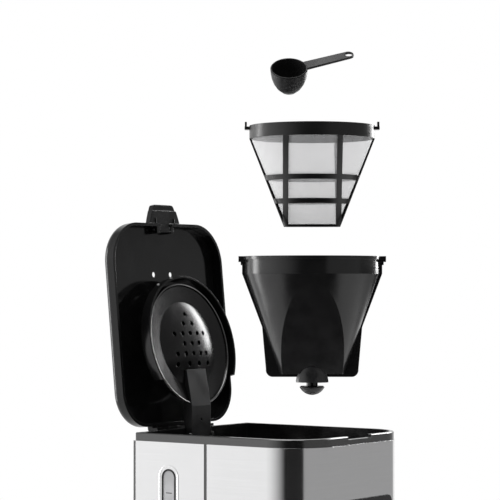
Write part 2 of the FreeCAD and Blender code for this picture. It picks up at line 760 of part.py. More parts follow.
def spray_arm():
    arm = arm_room(0.0)
    barrel = cyl_x(4.3, -ARM_HALF, ARM_HALF, SPRAY_PIVOT_Y, SPRAY_PIVOT_Z)
    arm = arm.fuse(barrel).removeSplitter()
    arm = arm.cut(cyl_x(SPRAY_PIN_R + FIT, -60, 60, SPRAY_PIVOT_Y, SPRAY_PIVOT_Z))
    pin_y = AXIS_Y + SPRAY_R + 15.0
    return arm.cut(cyl(1.4, SPRAY_Z - 6, SPRAY_Z + 8, 0, pin_y))


def spray_collar():
    """C-shaped guard round the dish, open towards the hinge, with a flange behind the dish."""
    z = SPRAY_Z
    inner = COLLAR_R - 2.0
    ring = lathe((
        (COLLAR_R, z - 5), (COLLAR_R, z + 6), (61.0, z + 6), (61.7, z + 4.6),
        (inner, z + 4.6), (inner, z - 5),
    ), 0, COLLAR_ARC)
    ring.rotate(V(0, 0, 0), UP, 90 + (360 - COLLAR_ARC) / 2)
    ring.translate(V(0, AXIS_Y, 0))
    return ring


# Funnel, filter and scoop, drawn round their own axis with the rim at z 0


def wedge(r_top, z_top, half_w, half_t, z_low):
    """Ruled body from a circle down to a narrow slot with round ends."""
    side = math.radians(9)
    marks = (math.pi + side, 2 * math.pi - side, 2 * math.pi + side, 3 * math.pi - side)

    def on_circle(turn):
        return V(r_top * math.cos(turn), r_top * math.sin(turn), z_top)

    rings = []
    for i in range(4):
        a = marks[i]
        b = marks[(i + 1) % 4] + (2 * math.pi if i == 3 else 0)
        rings.append(Part.Arc(on_circle(a), on_circle((a + b) / 2), on_circle(b)).toShape())
    flat = half_w - half_t
    low = [V(-flat, -half_t, z_low), V(flat, -half_t, z_low), V(flat, half_t, z_low), V(-flat, half_t, z_low)]
    slots = [
        Part.LineSegment(low[0], low[1]).toShape(),
        Part.Arc(low[1], V(half_w, 0, z_low), low[2]).toShape(),
        Part.LineSegment(low[2], low[3]).toShape(),
        Part.Arc(low[3], V(-half_w, 0, z_low), low[0]).toShape(),
    ]
    return Part.makeLoft([Part.Wire(rings), Part.Wire(slots)], True, True)


def fin_plate():
    """Upright plate across the funnel: side ribs above, two wings below."""
    half = (
        (63.3, -2.0), (63.3, -FUNNEL_BAND), (45.2, -64.0), (41.8, -102.0), (36.2, -109.0),
    )
    right = [V(x, 0, z) for x, z in half]
    left = [V(-p.x, 0, p.z) for p in reversed(right)]
    arc_right = Part.Arc(right[3], V(40.0, 0, -107.2), right[4]).toShape()
    arc_left = Part.Arc(left[0], V(-40.0, 0, -107.2), left[1]).toShape()
    lines = [(right[0], right[1]), (right[1], right[2]), (right[2], right[3])]
    lines_left = [(left[1], left[2]), (left[2], left[3]), (left[3], left[4])]
    edges = [Part.LineSegment(a, b).toShape() for a, b in lines] + [arc_right]
    edges += [Part.LineSegment(right[4], left[0]).toShape(), arc_left]
    edges += [Part.LineSegment(a, b).toShape() for a, b in lines_left]
    edges.append(Part.LineSegment(left[4], right[0]).toShape())
    plate = Part.Face(Part.Wire(edges)).extrude(V(0, FIN_T, 0))
    plate.translate(V(0, -FIN_T / 2, 0))
    return plate


def filter_funnel():
    t = FUNNEL_WALL
    band = cyl(FUNNEL_R, -FUNNEL_BAND, 0, 0, 0)
    bead = cyl(FUNNEL_R + 1.5, -3.0, 0, 0, 0)
    cone = wedge(FUNNEL_R, -FUNNEL_BAND, FUNNEL_FOOT_HALF, FUNNEL_FOOT_T, -FUNNEL_DEPTH)
    lugs = mirrored_boxes(FUNNEL_R - 2, LUG_REACH, -7, 7, -5.2, 0)
    steps = mirrored_boxes(FUNNEL_R - 2, LUG_REACH - 2, -4, 4, -8.0, -5.2)
    ball_z = -HOOD_LOW + 1.3
    hood = Part.makeSphere(HOOD_R, V(0, 0, ball_z))
    hood = hood.common(box(-20, 20, -20, 20, ball_z, 0))
    hood = hood.fuse(cyl(HOOD_R, -HOOD_LOW, ball_z, 0, 0))
    whole = fuse_all([band, bead, cone, fin_plate(), lugs, steps, hood])
    inside = cyl(FUNNEL_R - t, -FUNNEL_BAND, 1, 0, 0)
    inner_cone = wedge(FUNNEL_R - t, -FUNNEL_BAND, FUNNEL_FOOT_HALF - t, FUNNEL_FOOT_T - t, -FUNNEL_DEPTH + t)
    well = cyl(HOOD_R - 2, -HOOD_LOW - 1, -FUNNEL_DEPTH, 0, 0)
    throat = cyl(STEM_R + 0.5, -FUNNEL_DEPTH - 1, -FUNNEL_DEPTH + 5, 0, 0)
    return whole.cut(fuse_all([inside, inner_cone])).cut(well).cut(throat)


def drip_valve():
    low = -HOOD_LOW - 3.3
    stem = cyl(STEM_R, low - 1.0, -FUNNEL_DEPTH + FUNNEL_WALL + 1.2, 0, 0)
    ball_r = 12.6
    cap = Part.makeSphere(ball_r, V(0, 0, low - 8.3 + ball_r))
    cap = cap.common(cyl(CAP_R, low - 9, low - 1.2, 0, 0))
    cap = cap.fuse(lathe(((0, low - 1.2), (CAP_R, low - 1.2), (CAP_R - 1.5, low), (0, low)), 0))
    return fuse_all([stem, cap])


def valve_seal():
    floor = -FUNNEL_DEPTH + FUNNEL_WALL
    return lathe(((0, floor + 3.0), (5.5, floor + 3.0), (7.6, floor + 0.2), (0, floor + 1.2)), 0).cut(
        cyl(STEM_R, floor - 1, floor + 1.2, 0, 0))


def filter_shell(grow, thickness):
    outer = wedge(FILTER_R - 2.0 + grow, -FILTER_BAND, FILTER_FOOT_HALF - 2 + grow,
                  FILTER_FOOT_T - 2 + grow, -FILTER_DEPTH + 2 - grow)
    less = grow - thickness
    inner = wedge(FILTER_R - 2.0 + less, -FILTER_BAND + 0.01, FILTER_FOOT_HALF - 2 + less,
                  FILTER_FOOT_T - 2 + less, -FILTER_DEPTH + 2 - less)
    return outer.cut(inner)


def filter_frame():
    ring = cyl(FILTER_R, -FILTER_BAND, 0, 0, 0).cut(cyl(FILTER_R - 2.6, -FILTER_BAND - 1, 1, 0, 0))
    bars = [box(-80, 80, -2.5, 2.5, -FILTER_DEPTH, -FILTER_BAND)]
    bars.append(mirrored_boxes(21.5, 26.5, -80, 80, -FILTER_DEPTH, -FILTER_BAND))
    bars += [box(-80, 80, -80, 80, -z - 4.5, -z) for z in (44.9, 66.0)]
    bars.append(box(-80, 80, -80, 80, -FILTER_DEPTH, -FILTER_DEPTH + 2.4))
    ribs = filter_shell(2.0, 1.8).common(fuse_all(bars))
    ears = mirrored_boxes(FILTER_R - 1.5, 61.0, -5, 5, -FILTER_SEAT, -0.8)
    prongs = mirrored_boxes(59.0, 60.8, -4, 4, -2.0, FILTER_SEAT)
    return fuse_all([ring, ribs, ears, prongs])


def filter_mesh():
    return filter_shell(0.15, 0.6)


def scoop():
    t = 1.4
    rim = V(SCOOP_R, 0, 0)
    deep = V(0, 0, -SCOOP_DEPTH)
    belly = V(SCOOP_R * 0.82, 0, -SCOOP_DEPTH * 0.62)
    inner = [V(SCOOP_R - t, 0, 0), V((SCOOP_R - t) * 0.81, 0, -SCOOP_DEPTH * 0.60), V(0, 0, -SCOOP_DEPTH + t)]
    wire = Part.Wire([
        Part.Arc(rim, belly, deep).toShape(),
        Part.LineSegment(deep, inner[2]).toShape(),
        Part.Arc(inner[2], inner[1], inner[0]).toShape(),
        Part.LineSegment(inner[0], rim).toShape(),
    ])
    bowl = Part.Face(wire).revolve(V(0, 0, 0), UP, 360)
    bar = prism(plan_wire(-3.6, 3.6, SCOOP_R - 0.8, 62.0, 0.5, 3.5), -3.0, 0)
    bar = bar.cut(prism(plan_wire(-1.8, 1.8, 51.5, 59.5, 1.7, 1.7), -4, 1))
    bar.rotate(V(0, 0, 0), UP, -90 + SCOOP_HANDLE_TURN)
    whole = bowl.fuse(bar).removeSplitter()
    whole.rotate(V(0, 0, 0), V(1, 0, 0), SCOOP_TILT)
    return whole


# Carafe


def glass_profile(less):
    """Outer or inner wall line of the glass, as (radius, z) points."""
    low = CARAFE_LOW + less
    points = ((55.0, 0.0), (61.5, 8.0), (63.5, 26.0), (61.0, 56.0), (53.5, 88.0), (CARAFE_NECK_R, 100.0))
    wall = [V(r - less, 0, CARAFE_LOW + max(z, less)) for r, z in points]
    wall[0].z = low
    curve = Part.BSplineCurve()
    curve.interpolate(wall)
    top = V(CARAFE_NECK_R - less, 0, CARAFE_TOP)
    return wall[0], curve.toShape(), wall[-1], top


def turned(less, lift):
    start, curve, neck, top = glass_profile(less)
    top = top + V(0, 0, lift)
    wire = Part.Wire([
        Part.LineSegment(V(0, 0, start.z), start).toShape(),
        curve,
        Part.LineSegment(neck, top).toShape(),
        Part.LineSegment(top, V(0, 0, top.z)).toShape(),
        Part.LineSegment(V(0, 0, top.z), V(0, 0, start.z)).toShape(),
    ])
    solid = Part.Face(wire).revolve(V(0, 0, 0), UP, 360)
    solid.translate(V(0, AXIS_Y, 0))
    return solid


def carafe_glass():
    return turned(0.0, 0.0).cut(turned(GLASS_T, 1.0))


def carafe_band():
    inner = CARAFE_NECK_R + 0.05
    low = CARAFE_TOP - BAND_H
    return lathe(((inner, low), (inner + 2.5, low), (inner + 3.2, low + 1), (inner + 3.2, CARAFE_TOP),
                  (inner, CARAFE_TOP)))


def carafe_handle():
    """Bent grip: out from the band, round the knuckle, and down to a free end."""
    front = AXIS_Y - CARAFE_NECK_R - 3.2
    z = CARAFE_TOP - BAND_H / 2
    start = V(0, front + 2, z)
    path = tube_path([start, V(0, front - 48, z), V(0, front - 42, HANDLE_END_Z)], HANDLE_BEND)
    section = plan_wire(-HANDLE_HALF, HANDLE_HALF, -BAND_H / 2, BAND_H / 2, 3.5, 3.5)
    section.rotate(V(0, 0, 0), V(1, 0, 0), 90)
    section.translate(start)
    grip = path.makePipeShell([section], True, False)
    return grip.cut(cyl(CARAFE_NECK_R + 3.3, z - BAND_H, z + BAND_H))


def carafe_lid():
    top = CARAFE_TOP
    r = CARAFE_NECK_R
    cap = lathe((
        (9.0, top + 2.0), (9.0, top + 9.0), (12.0, top + 12.0), (r - 8, top + 14.0), (r, top + 9.0),
        (r + 1.5, top + 0.4), (r - GLASS_T - 0.4, top + 0.4), (r - GLASS_T - 0.4, top - 6.0),
        (r - GLASS_T - 2.4, top - 6.0), (r - GLASS_T - 2.4, top + 2.0),
    ))
    shapes = [cap]
    for turn in range(30, 390, 60):
        rib = box(-2.0, 2.0, r - 6, r + 1.0, top + 1.0, top + 10.0)
        rib.rotate(V(0, 0, 0), UP, turn)
        rib.translate(V(0, AXIS_Y, 0))
        shapes.append(rib)
    return fuse_all(shapes)


# Stored pose


def about_x(shape, y, z, angle):
    moved = shape.copy()
    moved.rotate(V(0, y, z), V(1, 0, 0), angle)
    return moved


def lid_pose(shape):
    return about_x(shape, LID_PIVOT_Y, LID_PIVOT_Z, -LID_OPEN)


def spray_pose(shape):
    return about_x(shape, SPRAY_PIVOT_Y, SPRAY_PIVOT_Z, -SPRAY_OPEN)


def stack_pose(shape, z):
    moved = shape.copy()
    moved.rotate(V(0, 0, 0), UP, STACK_TURN)
    moved.translate(V(STACK_X, STACK_Y, z))
    return moved


def scoop_pose(shape):
    moved = shape.copy()
    moved.translate(V(SCOOP_SIDE, 0, 0))
    return stack_pose(moved, RIM_Z + SCOOP_LIFT)


def all_nodes():
    funnel_z = DECK_Z + FUNNEL_LIFT
    filter_z = funnel_z + FILTER_SEAT + FILTER_LIFT
    nodes = {
        "base_housing": base_housing(),
        "base_cover": base_cover(),
        "rubber_feet": rubber_feet(),
        "base_screws": base_screws(),
        "hotplate": hotplate(),
        "hotplate_seal": hotplate_seal(),
        "heating_element": heating_element(),
        "heater_bracket": heater_bracket(),
        "thermostats": thermostats(),
        "water_tank": water_tank(),
        "check_valve": check_valve(),
        "cold_water_tube": cold_water_tube(),
        "hot_riser_tube": hot_riser_tube(),
        "hose_clips": hose_clips(),
        "bay_wall": bay_wall(),
        "front_wrap": front_wrap(),
        "left_rear_panel": left_rear_panel(),
        "right_rear_panel": rear_panel(1),
        "window_frame": window_frame(),
        "water_window": water_window(),
        "seam_strips": seam_strips(),
        "rear_cover": rear_cover(),
        "cord_gland": cord_gland(),
        "lid_hinge_pin": lid_hinge_pin(),
        "top_rim": top_rim(),
        "spray_pin": spray_pin(),
        "brew_chamber": brew_chamber(),
        "head_floor": head_floor(),
        "control_panel": control_panel(),
        "display_window": display_window(),
        "display_module": display_module(),
        "control_board": control_board(),
        "lid_shell": lid_pose(lid_shell()),
        "lid_liner": lid_pose(lid_liner()),
        "latch_pin": lid_pose(latch_pin()),
        "lid_latch": lid_pose(lid_latch()),
        "spray_dish": spray_pose(spray_dish()),
        "spray_plate": spray_pose(spray_plate()),
        "spray_arm": spray_pose(spray_arm()),
        "spray_collar": spray_pose(spray_collar()),
        "filter_funnel": stack_pose(filter_funnel(), funnel_z),
        "drip_valve": stack_pose(drip_valve(), funnel_z),
        "valve_seal": stack_pose(valve_seal(), funnel_z),
        "filter_frame": stack_pose(filter_frame(), filter_z),
        "filter_mesh": stack_pose(filter_mesh(), filter_z),
        "scoop": scoop_pose(scoop()),
        "carafe_glass": carafe_glass(),
        "carafe_band": carafe_band(),
        "carafe_handle": carafe_handle(),
        "carafe_lid": carafe_lid(),
    }
    for name in BUTTONS:
        nodes[name] = button(name)
    return nodes


os.makedirs("parts", exist_ok=True)
for node, shape in all_nodes().items():
    shape.exportStep(os.path.join("parts", node + ".step"))
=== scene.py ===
import bmesh
import bpy
import json
import math
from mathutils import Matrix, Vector


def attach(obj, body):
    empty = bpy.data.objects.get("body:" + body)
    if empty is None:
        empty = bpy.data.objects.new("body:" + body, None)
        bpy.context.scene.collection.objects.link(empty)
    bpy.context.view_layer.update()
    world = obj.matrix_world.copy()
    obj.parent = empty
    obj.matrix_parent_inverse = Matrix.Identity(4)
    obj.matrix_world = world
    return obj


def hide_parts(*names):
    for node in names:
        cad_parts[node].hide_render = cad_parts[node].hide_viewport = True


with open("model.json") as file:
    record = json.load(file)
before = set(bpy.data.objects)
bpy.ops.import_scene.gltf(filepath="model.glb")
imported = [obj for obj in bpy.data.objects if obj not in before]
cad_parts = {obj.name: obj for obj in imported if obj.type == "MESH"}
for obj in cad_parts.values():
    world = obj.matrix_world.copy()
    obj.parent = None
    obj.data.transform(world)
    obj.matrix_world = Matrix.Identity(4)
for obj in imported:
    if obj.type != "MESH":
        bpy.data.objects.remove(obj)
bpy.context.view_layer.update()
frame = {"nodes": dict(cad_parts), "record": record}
NODES = frame["nodes"]
scene = bpy.context.scene
scene.view_settings.view_transform = "Standard"

# The photograph's camera: about level with the middle of the open lid, off the front left corner.
TOWARDS_CAMERA = Vector((-0.819, -0.574, 0.0))
IMAGE_RIGHT = Vector((0.574, -0.819, 0.0))
UP = Vector((0, 0, 1))
LENS_MM, SENSOR_MM = 151.2, 36.0
CAMERA_AWAY, CAMERA_HEIGHT = 2.1, 0.486
AIM_RIGHT, AIM_HEIGHT = -0.0239, 0.521


def point_at(obj, place, aim):
    """Set a camera or a lamp at a place, looking at another."""
    obj.location = place
    obj.rotation_mode = "QUATERNION"
    obj.rotation_quaternion = (Vector(aim) - Vector(place)).to_track_quat("-Z", "Y")
    scene.collection.objects.link(obj)
    return obj


def make_camera():
    data = bpy.data.cameras.new("camera")
    data.lens, data.sensor_width = LENS_MM, SENSOR_MM
    place = TOWARDS_CAMERA * CAMERA_AWAY + UP * CAMERA_HEIGHT
    aim = IMAGE_RIGHT * AIM_RIGHT + UP * AIM_HEIGHT
    scene.camera = point_at(bpy.data.objects.new("camera", data), place, aim)


# Node and mesh helpers


class Graph:
    """A small wrapper round a node tree."""

    def __init__(self, tree):
        self.nodes = tree.nodes
        self.links = tree.links

    def add(self, kind, inputs=None, **settings):
        node = self.nodes.new(kind)
        for name, value in settings.items():
            setattr(node, name, value)
        for name, value in (inputs or {}).items():
            self.feed(node.inputs[name], value)
        return node

    def feed(self, socket, value):
        if isinstance(value, bpy.types.NodeSocket):
            self.links.new(value, socket)
        else:
            socket.default_value = value

    def math(self, operation, a, b=0.0, clamp=False):
        node = self.add("ShaderNodeMath", operation=operation, use_clamp=clamp)
        self.feed(node.inputs[0], a)
        self.feed(node.inputs[1], b)
        return node.outputs[0]

    def highest(self, first, *others):
        for other in others:
            first = self.math("MAXIMUM", first, other)
        return first

    def ramp(self, value, low, high, to_low=0.0, to_high=1.0, smooth=True):
        """Map a value from low..high to to_low..to_high."""
        node = self.add("ShaderNodeMapRange", {
            "Value": value, "From Min": low, "From Max": high, "To Min": to_low, "To Max": to_high,
        }, interpolation_type="SMOOTHSTEP" if smooth else "LINEAR")
        return node.outputs["Result"]

    def dot(self, vector, direction):
        node = self.add("ShaderNodeVectorMath", operation="DOT_PRODUCT")
        self.feed(node.inputs[0], vector)
        self.feed(node.inputs[1], direction)
        return node.outputs["Value"]

    def noise(self, spot, scale, detail, **more):
        inputs = {"Vector": spot, "Scale": scale, "Detail": detail, **more}
        return self.add("ShaderNodeTexNoise", inputs).outputs["Fac"]

    def mix_color(self, factor, a, b):
        node = self.add("ShaderNodeMix", data_type="RGBA")
        self.feed(node.inputs["Factor"], factor)
        self.feed(node.inputs[6], a)
        self.feed(node.inputs[7], b)
        return node.outputs[2]

    def soft_edges(self, radius):
        return self.add("ShaderNodeBevel", {"Radius": radius}, samples=4).outputs["Normal"]

    def bump(self, bsdf, height, depth, strength, normal=None):
        inputs = {"Strength": strength, "Distance": depth, "Height": height}
        if normal is not None:
            inputs["Normal"] = normal
        self.feed(bsdf.inputs["Normal"], self.add("ShaderNodeBump", inputs).outputs["Normal"])

    def mix_shader(self, factor, a, b):
        node = self.add("ShaderNodeMixShader")
        for socket, value in zip(node.inputs, (factor, a.outputs[0], b.outputs[0])):
            self.feed(socket, value)
        return node

    def output(self, kind, shader):
        self.feed(self.add(kind).inputs["Surface"], shader.outputs[0])


def rgba(value):
    return (value, value, value, 1.0) if isinstance(value, float) else (*value, 1.0)


def shade(color, factor):
    return tuple(min(1.0, c * factor) for c in color)


def new_material(name, bare=False):
    """A material and its graph, which starts with the Principled shader, or empty where bare."""
    mat = bpy.data.materials.new(name)
    mat.use_nodes = True
    g = Graph(mat.node_tree)
    if bare:
        g.nodes.clear()
    return mat, g


def mesh_object(name, points, faces):
    mesh = bpy.data.meshes.new(name)
    mesh.from_pydata([tuple(p) for p in points], [], faces)
    obj = bpy.data.objects.new(name, mesh)
    scene.collection.objects.link(obj)
    return obj


def tube_faces(rings, around, closed=True):
    """Faces between rings of points, each with as many points around."""
    faces = []
    for j in range(rings if closed else rings - 1):
        here, there = j * around, (j + 1) % rings * around
        for i in range(around):
            k = (i + 1) % around
            faces.append((here + i, here + k, there + k, there + i))
    return faces


# Surroundings: a white backdrop, a white card on the left, a grey one on the right, a pale ceiling,
# and a dark room round the camera

ROOM_DARK = 0.016
LEFT_CARD, RIGHT_CARD, CEILING = 1.02, 0.36, 0.45


def studio_light(g, way):
    """Brightness of the studio in a direction."""
    near = g.dot(way, TOWARDS_CAMERA)
    right = g.dot(way, IMAGE_RIGHT)
    up = g.dot(way, UP)
    backdrop = g.math("MULTIPLY", g.ramp(near, -0.4, -0.8), g.ramp(right, 0.8, 0.45))
    left_card = g.ramp(right, -0.36, -0.96, 0.0, LEFT_CARD, smooth=False)
    right_card = g.math("MULTIPLY", g.ramp(right, 0.36, 0.42, 0.0, RIGHT_CARD),
                        g.ramp(up, 0.06, 0.25, 1.0, 0.55))
    ceiling = g.ramp(up, 0.5, 0.9, 0.0, CEILING)
    return g.highest(backdrop, left_card, right_card, ceiling, ROOM_DARK)


def make_world():
    """White to the eye, in metal and through glass; the studio's soft light on everything else."""
    world = bpy.data.worlds.new("studio")
    scene.world = world
    world.use_nodes = True
    g = Graph(world.node_tree)
    g.nodes.clear()
    light = studio_light(g, g.add("ShaderNodeTexCoord").outputs["Generated"])
    path = g.add("ShaderNodeLightPath").outputs
    seen = g.highest(path["Is Camera Ray"], path["Is Glossy Ray"], path["Is Transmission Ray"])
    studio = g.add("ShaderNodeBackground", {"Strength": 1.0, "Color": light})
    white = g.add("ShaderNodeBackground", {"Strength": 1.0, "Color": rgba(1.0)})
    g.output("ShaderNodeOutputWorld", g.mix_shader(seen, studio, white))


def make_surround():
    """Cards round the set that only show in reflections, open towards the white backdrop."""
    rows, columns = 48, 96
    reach, middle_height, opening = 6.0, 0.4, -0.85
    points = []
    for j in range(rows + 1):
        lift = math.pi * (j / rows - 0.5)
        for i in range(columns):
            turn = 2 * math.pi * i / columns
            points.append(Vector((math.cos(lift) * math.cos(turn), math.cos(lift) * math.sin(turn),
                                  math.sin(lift))))
    faces = []
    for face in tube_faces(rows + 1, columns, closed=False):
        middle = sum((points[v] for v in face), Vector()) / 4
        if middle.dot(TOWARDS_CAMERA) > opening:
            faces.append(face)
    surround = mesh_object("surround", [p * reach for p in points], faces)
    surround.location = UP * middle_height
    mat, g = new_material("surround", bare=True)
    way = g.add("ShaderNodeVectorMath", operation="NORMALIZE")
    g.feed(way.inputs[0], g.add("ShaderNodeTexCoord").outputs["Object"])
    light = studio_light(g, way.outputs["Vector"])
    glow = g.add("ShaderNodeEmission", {"Strength": 1.0, "Color": light})
    g.output("ShaderNodeOutputMaterial", glow)
    surround.data.materials.append(mat)
    only_in_reflections(surround)


def only_in_reflections(card):
    for ray in ("camera", "diffuse", "transmission", "shadow", "volume_scatter"):
        setattr(card, "visible_" + ray, False)


def area_light(name, place, aim, size, power):
    data = bpy.data.lights.new(name, "AREA")
    data.shape = "RECTANGLE"
    data.size, data.size_y = size
    data.energy = power
    return point_at(bpy.data.objects.new(name, data), place, aim)


def dark_card(name, middle, along, across):
    """Black studio card that only shows in reflections."""
    low, high = middle - across, middle + across
    corners = [low - along, low + along, high + along, high - along]
    card = mesh_object(name, corners, [(0, 1, 2, 3)])
    mat, g = new_material(name)
    sockets = g.nodes["Principled BSDF"].inputs
    sockets["Base Color"].default_value = rgba(0.02)
    sockets["Roughness"].default_value = 1.0
    sockets["Specular IOR Level"].default_value = 0.0
    card.data.materials.append(mat)
    only_in_reflections(card)


def make_floor():
    """Pale round floor that fades into the white background."""
    steps, radii = 96, (0.2, 0.4, 0.6, 0.8, 1.0, 1.3)
    turns = [2 * math.pi * i / steps for i in range(steps)]
    points = [(0.0, 0.0, 0.0)]
    for r in radii:
        points += [(r * math.cos(turn), r * math.sin(turn), 0) for turn in turns]
    faces = [(0, 1 + i, 1 + (i + 1) % steps) for i in range(steps)]
    for j in range(len(radii) - 1):
        a, b = 1 + j * steps, 1 + (j + 1) * steps
        faces += [(a + i, b + i, b + (i + 1) % steps, a + (i + 1) % steps) for i in range(steps)]
    floor = mesh_object("floor", points, faces)
    mat, g = new_material("floor", bare=True)
    away = g.add("ShaderNodeVectorMath", operation="LENGTH")
    g.feed(away.inputs[0], g.add("ShaderNodeTexCoord").outputs["Object"])
    fade = g.ramp(away.outputs["Value"], 0.35, 1.1)
    paper = g.add("ShaderNodeBsdfDiffuse", {"Color": rgba(0.86)})
    glow = g.add("ShaderNodeEmission", {"Color": rgba(1.0), "Strength": 1.0})
    g.output("ShaderNodeOutputMaterial", g.mix_shader(fade, paper, glow))
    floor.data.materials.append(mat)


# Materials


def surface(name, color, rough, grain=900.0, grain_depth=0.00002, mottle=60.0, spread=0.05,
            edge=0.0004, wear=1.6, metallic=0.0, **sockets):
    """Moulded or pressed surface: fine grain, uneven gloss, softened and slightly worn edges."""
    mat, g = new_material(name)
    bsdf = g.nodes["Principled BSDF"]
    bsdf.inputs["Metallic"].default_value = metallic
    for socket, value in sockets.items():
        bsdf.inputs[socket.replace("_", " ")].default_value = value
    spot = g.add("ShaderNodeTexCoord").outputs["Object"]
    fine = g.noise(spot, grain, 3.0, Roughness=0.6)
    broad = g.noise(spot, mottle, 4.0)
    soft = g.soft_edges(edge)
    flat = g.add("ShaderNodeNewGeometry").outputs["Normal"]
    rub = g.math("MULTIPLY", g.ramp(g.dot(soft, flat), 0.995, 0.9), g.ramp(broad, 0.35, 0.65))
    tone = g.mix_color(g.ramp(broad, 0.3, 0.7), rgba(shade(color, 0.9)), rgba(shade(color, 1.1)))
    g.feed(bsdf.inputs["Base Color"], g.mix_color(rub, tone, rgba(shade(color, wear))))
    even = g.math("ADD", g.ramp(fine, 0.3, 0.7, -spread * 0.5, spread * 0.5),
                  g.ramp(broad, 0.3, 0.7, -spread, spread))
    worn = g.math("MULTIPLY", rub, 0.06)
    gloss = g.math("ADD", g.math("ADD", even, worn), rough, clamp=True)
    g.feed(bsdf.inputs["Roughness"], gloss)
    g.bump(bsdf, fine, grain_depth, 1.0, soft)
    return mat


def brushed_steel(name, color, rough):
    """Steel sheet brushed along the horizontal, with faint streaks and uneven gloss."""
    mat, g = new_material(name)
    bsdf = g.nodes["Principled BSDF"]
    bsdf.inputs["Metallic"].default_value = 1.0
    spot = g.add("ShaderNodeTexCoord").outputs["Object"]
    pull = g.add("ShaderNodeMapping", {"Vector": spot, "Scale": (14.0, 14.0, 5200.0)})
    line = g.noise(pull.outputs[0], 1.0, 4.0, Roughness=0.7)
    broad = g.noise(spot, 25.0, 3.0)
    pale, dull = rgba(shade(color, 1.04)), rgba(shade(color, 0.96))
    tone = g.mix_color(g.ramp(line, 0.25, 0.75), rgba(shade(color, 0.95)), pale)
    g.feed(bsdf.inputs["Base Color"], g.mix_color(g.ramp(broad, 0.3, 0.7, 0.0, 0.35), tone, dull))
    streak = g.ramp(line, 0.2, 0.8, rough - 0.04, rough + 0.05)
    cloud = g.ramp(broad, 0.3, 0.7, -0.02, 0.02)
    g.feed(bsdf.inputs["Roughness"], g.math("ADD", streak, cloud, clamp=True))
    g.bump(bsdf, line, 0.00002, 0.35, g.soft_edges(0.00015))
    return mat


def clear(name, color, rough, ior=1.47, haze=0.03):
    """Glass or clear plastic with faint smears in its gloss."""
    mat, g = new_material(name)
    bsdf = g.nodes["Principled BSDF"]
    bsdf.inputs["IOR"].default_value = ior
    bsdf.inputs["Transmission Weight"].default_value = 1.0
    spot = g.add("ShaderNodeTexCoord").outputs["Object"]
    smear = g.noise(spot, 45.0, 5.0, Distortion=0.6)
    tone = g.mix_color(g.ramp(smear, 0.3, 0.7), rgba(shade(color, 0.97)), rgba(color))
    g.feed(bsdf.inputs["Base Color"], tone)
    g.feed(bsdf.inputs["Roughness"], g.ramp(smear, 0.4, 0.8, rough, rough + haze))
    g.bump(bsdf, smear, 0.00005, 0.15)
    return mat


def woven(name, color, pitch=0.0007):
    """Fine gauze: wires across and upright, with see-through pores."""
    mat, g = new_material(name)
    bsdf = g.nodes["Principled BSDF"]
    spot = g.add("ShaderNodeTexCoord").outputs["Object"]
    wires = []
    for axis in (IMAGE_RIGHT, UP):
        wave = g.math("SINE", g.math("MULTIPLY", g.dot(spot, axis), 2 * math.pi / pitch))
        wires.append(g.ramp(g.math("ABSOLUTE", wave), 0.25, 0.75))
    weave = g.highest(*wires)
    broad = g.noise(spot, 40.0, 3.0)
    tone = g.mix_color(g.ramp(broad, 0.3, 0.7), rgba(shade(color, 0.93)), rgba(color))
    g.feed(bsdf.inputs["Base Color"], g.mix_color(weave, rgba(shade(color, 0.75)), tone))
    g.feed(bsdf.inputs["Roughness"], g.ramp(broad, 0.3, 0.7, 0.4, 0.55))
    g.feed(bsdf.inputs["Alpha"], g.ramp(weave, 0.0, 1.0, 0.08, 0.27))
    g.bump(bsdf, weave, 0.0001, 0.5)
    return mat


